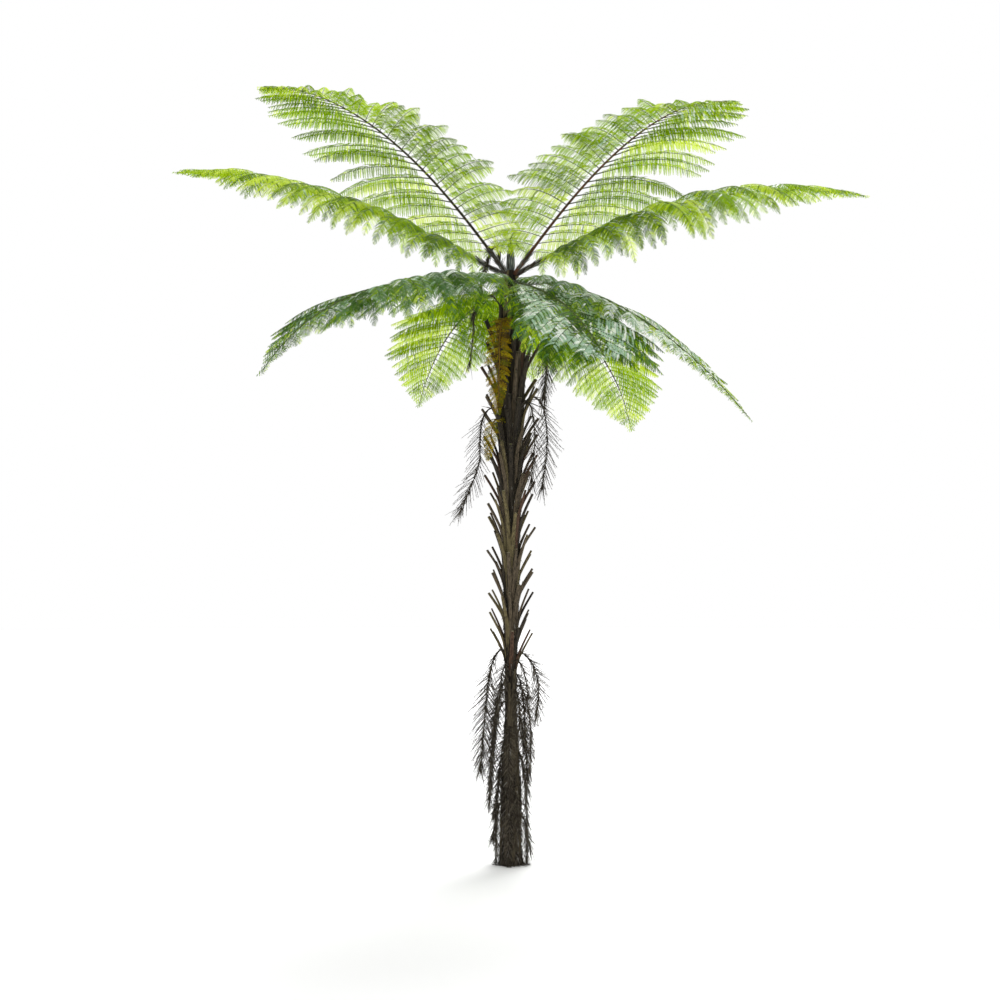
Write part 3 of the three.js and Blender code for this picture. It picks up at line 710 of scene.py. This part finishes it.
for clad in (bark_core(), old_bases()):
    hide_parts("trunk")

# ---- spear
SPEAR = Named(
    height=0.2, radius=0.030, profile=([0, 0.18, 0.5, 0.82, 1], [0.9, 1.0, 0.86, 0.48, 0.12]),
    stations=14, core_height=0.97, core_radius=0.85, scales=170, crowding=0.85, highest=0.86,
    scale_seat=0.9, scale_flare=(0.001, 0.005), scale_length=(0.05, 0.03), length_spread=(0.85, 1.2),
    scale_half_width=0.0055, scale_outline=([0, 0.3, 1], [0.7, 1, 0.08]), scale_flatten=0.22,
    tones=(0.5, 0.2, 0.3),
)


def spear():
    """Young fronds still wrapped in overlapping scales."""
    rng = np.random.default_rng(SEEDS.spear)
    base = np.array([0, 0, CROWN_HEIGHT])
    batch = Batch()
    share = np.linspace(0, 1, SPEAR.stations)
    core = base + UP * (share * SPEAR.height * SPEAR.core_height)[:, None]
    radius = np.interp(share, *SPEAR.profile) * SPEAR.radius * SPEAR.core_radius
    tubes(batch, core[None], radius, outward(0), SIDES.spear)
    number = np.arange(SPEAR.scales)
    place = (number / SPEAR.scales) ** SPEAR.crowding * SPEAR.highest
    away = outward(number * GOLDEN_ANGLE)
    length = np.interp(place, [0, 1], SPEAR.scale_length) * rng.uniform(*SPEAR.length_spread, len(number))
    step = np.linspace(0, 1, 5)
    level = np.clip(place[:, None] + step * length[:, None] / SPEAR.height, 0, 1)
    wide = np.interp(level, *SPEAR.profile) * SPEAR.radius * SPEAR.scale_seat
    flare = rng.uniform(*SPEAR.scale_flare, len(number))[:, None] * step ** 2
    paths = base + away[:, None, :] * (wide + flare)[:, :, None] + UP * (level * SPEAR.height)[:, :, None]
    width = np.interp(step, *SPEAR.scale_outline) * SPEAR.scale_half_width
    finish = rng.choice(3, len(number), p=SPEAR.tones)
    tubes(batch, paths, width, away[:, None, :], SIDES.scale, finish, SPEAR.scale_flatten)
    piece = batch.build("crown_spear_scales", SCALE_FINISHES)
    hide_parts("crown_spear")


spear()

# ---- dead and dying fronds
HANGING_STEPS = 48
CURVE_SAMPLES = 40  # between two points of a path, before even spacing
HANGING = dict(
    arch=0.09,  # how far the frond rises before it falls
    flick=0.025, sunk=0.022,
    twist=([0.12, 0.42], [0, 1]),  # where its flat side turns to its facing
    radius=([0, 0.1, 1], [0.009, 0.005, 0.002]), pitch=0.0165,
    litter=150,  # shreds to the metre
    tuft=0,  # finish of the loose threads at its tip
    # From root to tip: shares of the reach, of the arch, of the fall and of the tip's flick.
    path=np.array([
        [0, -0.3, 0, 0], [0.42, 0.5, 0, 0], [0.78, 0.2, 0.04, 0],
        [0.95, 0, 0.2, 0], [1, 0, 0.5, 0], [1, 0, 1, 1],
    ]),
)
# Old fronds round the foot of the trunk weep from their root in a wider bend.
WEEPING = dict(
    arch=0.03, pitch=0.0095, litter=220,
    path=np.array([
        [0, -0.3, 0, 0], [0.3, 0.4, 0, 0], [0.6, 0.1, 0.06, 0],
        [0.82, 0, 0.2, 0], [1, 0, 0.5, 0], [1, 0, 1, 1],
    ]),
)
THREADS = Named(
    bare=0.04,
    place_spread=0.2,  # in pitches
    radii=(0.0023, 0.0009), steps=5, sag=(0, 0.3),
    openness=44,  # angle between most threads and the midrib
    opening=([0, 0.25, 0.75, 1], [66, 47.52, 35.2, 13.2]),  # that angle along the midrib
    opening_spread=5, lift=(0, 0.2), outline=([0, 0.2, 0.7, 1], [0.5, 1, 1, 0.75]),
    length_spread=(0.8, 1.2), tones=(0.7, 0.3),
)
BARBS = Named(
    each=8,
    bare=0.8,  # how far from the midrib they begin, in barbs
    place_spread=0.02, length=0.011, length_spread=(0.6, 1.3), slope=(0.3, 0.9), way_spread=0.15,
    radii=(0.0012, 0.0004),
)
LITTER = Named(
    first=0.1,
    crowding=0.7,  # how far it gathers towards the tip
    place_spread=0.004, way_spread=0.38, length=(0.02, 0.055), sag=(0, 0.6),
    radii=(0.0019, 0.0015, 0.0005), tones=(0.6, 0.34, 0.06),
)
TUFT = Named(
    threads=(7, 12),
    row=-3,  # row of the midrib from which they fan out
    way_spread=0.28, length=(0.05, 0.13), floor_gap=0.01, sag=(0, 0.3), steps=5, radii=(0.0024, 0.0006),
)
DYING = Named(
    pitch=0.0165, place_spread=0.1, bare=0.02, opening=([0, 0.5, 1], [88, 80, 40]), opening_spread=4,
    lift=(0.1, 0.35),
    length=0.56,  # of its leaflets, as a share of the frond's width
    outline=([0, 0.15, 0.45, 0.75, 1], [0.3, 0.7, 1, 0.85, 0.3]), length_spread=(0.9, 1.1),
    sag=(0.35, 0.75), steps=6, radii=(0.0014, 0.0005), hang=0.4,
)
PATH_SIZES = ("azimuth", "root", "reach", "tip", "width")
# Those five, root and tip being heights, and what differs from HANGING and WEEPING.
DEAD = {
    "dead_frond_crown": (188, 3.745, 0.2, 3.49, 0.13, dict(arch=0.42, flick=0.045, pitch=0.011, litter=400)),
    "dead_frond_left_high": (205, 3.56, 0.265, 3.16, 0.09, dict(arch=0.12, pitch=0.04, litter=60)),
    "dead_frond_right_high": (-8, 3.4, 0.235, 2.96, 0.17, dict(
        arch=0.06, flick=-0.02, facing=-60, pitch=0.009, litter=420,
    )),
    "dead_frond_left": (187, 2.85, 0.205, 2.23, 0.19, dict(flick=0.12, facing=250)),
    "dead_frond_right_outer": (3, 2.93, 0.235, 2.38, 0.19, dict(flick=-0.03, facing=-70)),
    "dead_frond_right_inner": (-46, 2.89, 0.215, 2.41, 0.19, dict(flick=-0.03)),
    "dying_frond_high": (243, 3.42, 0.16, 2.86, 0.2, {}),
    "dying_frond_low": (225, 2.8, 0.175, 2.56, 0.14, dict(arch=0.04, tints=(0.1, 0.5, 0.35, 0.05))),
    "skirt_frond_left_outer": (186, 1.335, 0.162, 0.6, 0.19, dict(flick=0.03, facing=250, pitch=0.0075)),
    "skirt_frond_left_inner": (206, 1.085, 0.128, 0.4, 0.15, {}),
    "skirt_frond_left_foot": (196, 0.56, 0.098, 0.025, 0.11, dict(flick=0)),
    "skirt_frond_right_outer": (-3, 1.31, 0.175, 0.93, 0.16, dict(
        arch=0.04, flick=-0.01, facing=-60, tuft=2,
    )),
    "skirt_frond_right_middle": (-26, 1.11, 0.138, 0.6, 0.15, dict(flick=-0.005, pitch=0.014, litter=150)),
    "skirt_frond_front_high": (-48, 1.27, 0.138, 1.06, 0.08, dict(pitch=0.016, litter=80)),
    "skirt_frond_right_foot": (-14, 0.68, 0.102, 0.025, 0.12, dict(flick=0)),
    "skirt_frond_front_foot": (262, 0.56, 0.098, 0.025, 0.09, dict(flick=0.012)),
    "skirt_frond_back_right": (52, 1.18, 0.15, 0.52, 0.13, {}),
    "skirt_frond_back": (92, 0.86, 0.13, 0.18, 0.12, {}),
    "skirt_frond_back_left": (138, 1.12, 0.15, 0.46, 0.13, {}),
    "skirt_frond_back_foot": (118, 0.42, 0.104, 0.025, 0.11, dict(flick=0.012)),
}


def curve_through(points, samples):
    """Even points along a rounded curve (a centripetal Catmull-Rom spline) through a few points."""
    ends = np.vstack([2 * points[0] - points[1], points, 2 * points[-1] - points[-2]])
    fine = []
    for p0, p1, p2, p3 in zip(ends, ends[1:], ends[2:], ends[3:]):
        d0, d1, d2 = (math.sqrt(np.linalg.norm(b - a)) for a, b in ((p0, p1), (p1, p2), (p2, p3)))
        leave = ((p1 - p0) / d0 - (p2 - p0) / (d0 + d1) + (p2 - p1) / d1) * d1
        arrive = ((p2 - p1) / d1 - (p3 - p1) / (d1 + d2) + (p3 - p2) / d2) * d1
        t = np.linspace(0, 1, CURVE_SAMPLES, endpoint=False)[:, None]
        rise, fall = t ** 3 - 2 * t ** 2 + t, t ** 3 - t ** 2
        blend = 2 * t ** 3 - 3 * t ** 2
        fine.append(p1 + (p1 - p2) * blend + leave * rise + arrive * fall)
    fine = np.vstack(fine + [points[-1:]])
    run = np.concatenate([[0], np.cumsum(np.linalg.norm(np.diff(fine, axis=0), axis=1))])
    even = np.linspace(0, run[-1], samples)
    return np.stack([np.interp(even, run, fine[:, k]) for k in range(3)], axis=-1), run[-1]


def bend(start, way, length, sag, steps):
    """Thin paths that leave their starts along way and sag as they go."""
    at = (np.arange(steps) + 0.5) / steps
    step = unit(way[:, None, :] - UP * (sag[:, None] * at)[:, :, None])
    path = np.cumsum(step * (length / steps)[:, None, None], axis=1) + start[:, None, :]
    path = np.concatenate([start[:, None, :], path], axis=1)
    path[:, :, 2] = np.maximum(path[:, :, 2], LOWEST)
    return path


def strands(batch, start, way, length, sag, radii, face, finish):
    """Adds threads that leave their starts along way and sag as they go, with a step between radii."""
    paths = bend(start, way, length, sag, len(radii) - 1)
    tubes(batch, paths, radii, face[:, None, :], SIDES.thread, finish)


def hanging_midrib(batch, dead):
    """Adds a hanging frond's midrib. Returns its points with the directions along it, over it and across its
    flat side, and its length."""
    start = trunk_radius(dead.root) - dead.sunk
    out, arch, fall, flick = dead.path.T
    height = dead.root + arch * dead.arch - fall * (dead.root - dead.tip)
    distance = lerp(start, dead.reach, out) + flick * dead.flick
    points = outward(dead.azimuth) * distance[:, None]
    points[:, 2] = height
    path, length = curve_through(points, HANGING_STEPS + 1)
    share = np.linspace(0, 1, HANGING_STEPS + 1)
    facing = lerp(dead.azimuth, getattr(dead, "facing", dead.azimuth), np.interp(share, *dead.twist))
    across = np.cross(UP, outward(facing))
    along = unit(np.gradient(path, axis=0))
    over = unit(np.cross(along, across))
    tubes(batch, path[None], np.interp(share, *dead.radius), over[None], SIDES.dry_midrib)
    return Named(point=path, along=along, over=over, flat=np.cross(over, along)), length


def leaflets_in_pairs(shape, length, longest, pitch, sizes, draw, rng):
    """Thin paths that leave a hanging midrib in pairs, with their places and lengths and the way that their
    upper side faces. draw deals out the lift off the frond's flat side."""
    pairs = int(length * (1 - sizes.bare) / pitch)
    count = 2 * pairs
    share = np.repeat(np.linspace(sizes.bare, 1, pairs), 2)
    share = np.clip(share + rng.normal(0, sizes.place_spread * pitch / length, count), 0, 1)
    side = np.tile([1.0, -1.0], pairs)[:, None]
    here = at_share(shape, share)
    opening = np.interp(share, *sizes.opening) + rng.normal(0, sizes.opening_spread, count)
    opening = np.radians(opening)[:, None]
    way = here.along * np.cos(opening) + here.flat * side * np.sin(opening)
    way = unit(way + here.over * draw(*sizes.lift, count)[:, None])
    reach = longest * np.interp(share, *sizes.outline) * rng.uniform(*sizes.length_spread, count)
    points = bend(here.point, way, reach, rng.uniform(*sizes.sag, count), sizes.steps)
    return Named(points=points, share=share, length=reach, upright=here.over, size=np.ones(count))


def threads(batch, shape, dead, length, rng):
    """Withered leaflets: straight dark threads in pairs, with barbs where their pinnules were."""
    longest = dead.width / 2 / math.sin(math.radians(THREADS.openness))
    ribs = leaflets_in_pairs(shape, length, longest, dead.pitch, THREADS, rng.normal, rng)
    finish = rng.choice(2, len(ribs.points), p=THREADS.tones)
    radii = taper(THREADS.radii, THREADS.steps)
    tubes(batch, ribs.points, radii, ribs.upright[:, None, :], SIDES.thread, finish)
    barbs(batch, ribs.points, ribs.upright, rng)


def barbs(batch, paths, over, rng):
    """What is left of the pinnules on withered leaflets."""
    each, bare = BARBS.each, BARBS.bare
    which = np.repeat(np.arange(len(paths)), each)
    count = len(which)
    at = np.tile((np.arange(each) + bare) / (each + bare), len(paths))
    root, rib = along_paths(paths, which, at + rng.normal(0, BARBS.place_spread, count))
    sideways = np.tile([1.0, -1.0], count // 2)[:, None] * np.cross(rib, over[which])
    way = rib + sideways * rng.uniform(*BARBS.slope, count)[:, None]
    way = unit(way + rng.normal(0, BARBS.way_spread, root.shape))
    length = BARBS.length * rng.uniform(*BARBS.length_spread, count)
    strands(batch, root, way, length, np.zeros(count), BARBS.radii, over[which], rng.choice(2, count))


def litter(batch, shape, dead, length, rng):
    """Shreds caught along a dead frond's midrib, and the loose threads that fan out from its tip."""
    count = int(dead.litter * length)
    here = at_share(shape, lerp(LITTER.first, 1, rng.random(count) ** LITTER.crowding))
    start = here.point + rng.normal(0, LITTER.place_spread, (count, 3))
    way = unit(here.along + rng.normal(0, LITTER.way_spread, (count, 3)))
    reach, sag = rng.uniform(*LITTER.length, count), rng.uniform(*LITTER.sag, count)
    finish = rng.choice(3, count, p=LITTER.tones)
    strands(batch, start, way, reach, sag, LITTER.radii, here.over, finish)
    tips = rng.integers(*TUFT.threads)
    start = shape.point[np.full(tips, TUFT.row)]
    way = unit(shape.along[-1] + rng.normal(0, TUFT.way_spread, (tips, 3)))
    room = np.minimum(rng.uniform(*TUFT.length, tips), start[:, 2] + TUFT.floor_gap)
    sag, radii = rng.uniform(*TUFT.sag, tips), taper(TUFT.radii, TUFT.steps)
    strands(batch, start, way, room, sag, radii, shape.over[:1], dead.tuft)


def withered(batch, dead, rng):
    shape, length = hanging_midrib(batch, dead)
    threads(batch, shape, dead, length, rng)
    litter(batch, shape, dead, length, rng)


def dead_frond(name, dead, seed):
    batch = Batch()
    withered(batch, dead, np.random.default_rng(seed))
    piece = batch.build(f"{name}_threads", FIBRE_FINISHES)
    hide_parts(name)


def dying_frond(name, dead, seed):
    """A frond that hangs like a dead one but still has its pinnules, in ochre and yellow."""
    rng = np.random.default_rng(seed)
    wood, leaves = Batch(), Batch()
    shape, length = hanging_midrib(wood, dead)
    longest = dead.width * DYING.length
    ribs = leaflets_in_pairs(shape, length, longest, DYING.pitch, DYING, rng.uniform, rng)
    tubes(wood, ribs.points, taper(DYING.radii, DYING.steps), ribs.upright[:, None, :], SIDES.thread)
    comb(leaves, ribs, DYING_PINNULES, Named(**(FROND | vars(dead) | dict(hang=DYING.hang))), rng)
    foliage = leaves.build(f"{name}_leaflets", LEAF_DYING)
    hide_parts(name)
    stem = wood.build(f"{name}_ribs", [DYING_RIB_FINISH])
    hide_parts(name)


for number, (name, (*sizes, given)) in enumerate(DEAD.items()):
    make = dying_frond if name.startswith("dying") else dead_frond
    kind = WEEPING if name.startswith("skirt") else {}
    dead = Named(**(HANGING | kind | dict(zip(PATH_SIZES, sizes)) | given))
    make(name, dead, SEEDS.dry + number)

SKIRT = Named(
    count=13, lowest=0.3, highest=1.25, start=20, arch=0.02,
    reach=(0.078, 0.115), width=(0.1, 0.15), drop=(0.2, 0.4), floor_gap=0.015,
)


def inner_skirt():
    """Older dead fronds pressed against the foot of the trunk, under those that stand off it."""
    rng = np.random.default_rng(SEEDS.inner_skirt)
    batch = Batch()
    for number, height in enumerate(np.linspace(SKIRT.lowest, SKIRT.highest, SKIRT.count)):
        given = dict(
            azimuth=SKIRT.start + number * GOLDEN_ANGLE, root=height, arch=SKIRT.arch,
            reach=rng.uniform(*SKIRT.reach), width=rng.uniform(*SKIRT.width),
            tip=max(height - rng.uniform(*SKIRT.drop), SKIRT.floor_gap),
        )
        withered(batch, Named(**(HANGING | WEEPING | given)), rng)
    piece = batch.build("skirt_inner_threads", FIBRE_FINISHES)


inner_skirt()

DRY_STALK = Named(
    azimuth=-4, start=0.035, length=0.25, height=3.7, rise=0.012, steps=11,
    radii=(0.007, 0.003), wobble=0.0008,
)


def dry_stalk():
    rng = np.random.default_rng(SEEDS.dry_stalk)
    share = np.linspace(0, 1, DRY_STALK.steps + 1)
    away = outward(DRY_STALK.azimuth)
    path = away * (DRY_STALK.start + DRY_STALK.length * share)[:, None]
    path = path + UP * (DRY_STALK.height + DRY_STALK.rise * share)[:, None]
    path += rng.normal(0, DRY_STALK.wobble, path.shape)
    batch = Batch()
    tubes(batch, path[None], taper(DRY_STALK.radii, DRY_STALK.steps), UP, SIDES.dry_stalk)
    piece = batch.build("dry_stalk_rib", FIBRE_FINISHES)
    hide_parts("dry_stalk")


dry_stalk()

FIBRES = Named(
    count=3200, lowest=0.01, range=3.5,
    crowding=2.6,  # how far they gather towards the trunk's foot
    seat=0.95, outward=0.5, way_spread=0.3, downward=(0.4, 2.6), length=(0.015, 0.075),
    outline=([0, 0.8, 1.1, 3.5], [1, 1, 0.6, 0.4]),  # shares of it up the trunk
    sag=(0.3, 2.0), steps=3, radii=(0.0018, 0.0005), tones=(0.45, 0.47, 0.08),
)


def root_fibres():
    """Root fibres and hairs that roughen the trunk, thickest towards its foot."""
    rng = np.random.default_rng(SEEDS.fibres)
    count = FIBRES.count
    height = FIBRES.range * rng.random(count) ** FIBRES.crowding + FIBRES.lowest
    away = outward(rng.uniform(0, 360, count))
    start = away * (trunk_radius(height) * FIBRES.seat)[:, None] + UP * height[:, None]
    way = away * FIBRES.outward + rng.normal(0, FIBRES.way_spread, (count, 3))
    way = unit(way - UP * rng.uniform(*FIBRES.downward, count)[:, None])
    length = rng.uniform(*FIBRES.length, count) * np.interp(height, *FIBRES.outline)
    sag, radii = rng.uniform(*FIBRES.sag, count), taper(FIBRES.radii, FIBRES.steps)
    batch = Batch()
    strands(batch, start, way, length, sag, radii, away, rng.choice(3, count, p=FIBRES.tones))
    piece = batch.build("trunk_fibres", FIBRE_FINISHES)


root_fibres()

# ---- floor, light and camera
FLOOR = Named(radius=60, sides=64, color=(0.9, 0.9, 0.9, 1), roughness=0.9)
SKY = Named(color=(1.0, 1.0, 1.0, 1), strength=1.0)
SUN = Named(energy=2.4, at=(1.0, 4.0, 9.0), aim=(0, 0, 3.0), angle=30)
CAMERA = Named(at=(-0.069, -8.9, 1.7), tilt=3.88, lens=50, sensor=36)


def floor():
    ring = outward(np.arange(FLOOR.sides) * (360 / FLOOR.sides)) * FLOOR.radius
    mesh = bpy.data.meshes.new("floor")
    mesh.from_pydata(ring.tolist(), [], [list(range(FLOOR.sides))])
    material, *_, shader = node_material("floor_paint")
    set_inputs(shader, {"Base Color": FLOOR.color, "Roughness": FLOOR.roughness})
    mesh.materials.append(material)
    add_object("floor", mesh)


def sky():
    world = bpy.data.worlds.new("studio")
    world.use_nodes = True
    set_inputs(world.node_tree.nodes["Background"], {"Color": SKY.color, "Strength": SKY.strength})
    bpy.context.scene.world = world
    bpy.context.scene.view_settings.view_transform = "Standard"


def sun():
    """A wide, soft sun high behind the crown, so that the leaves glow."""
    data = bpy.data.lights.new("sun_behind", "SUN")
    data.energy = SUN.energy
    data.angle = math.radians(SUN.angle)
    light = add_object("sun_behind", data)
    light.location = SUN.at
    light.rotation_mode = "QUATERNION"
    light.rotation_quaternion = (Vector(SUN.aim) - Vector(SUN.at)).to_track_quat("-Z", "Y")


def camera():
    data = bpy.data.cameras.new("camera")
    data.lens = CAMERA.lens
    data.sensor_width = CAMERA.sensor
    eye = add_object("camera", data)
    eye.location = CAMERA.at
    eye.rotation_euler = (math.radians(90 + CAMERA.tilt), 0, 0)
    bpy.context.scene.camera = eye


for make in (floor, sky, sun, camera):
    make()
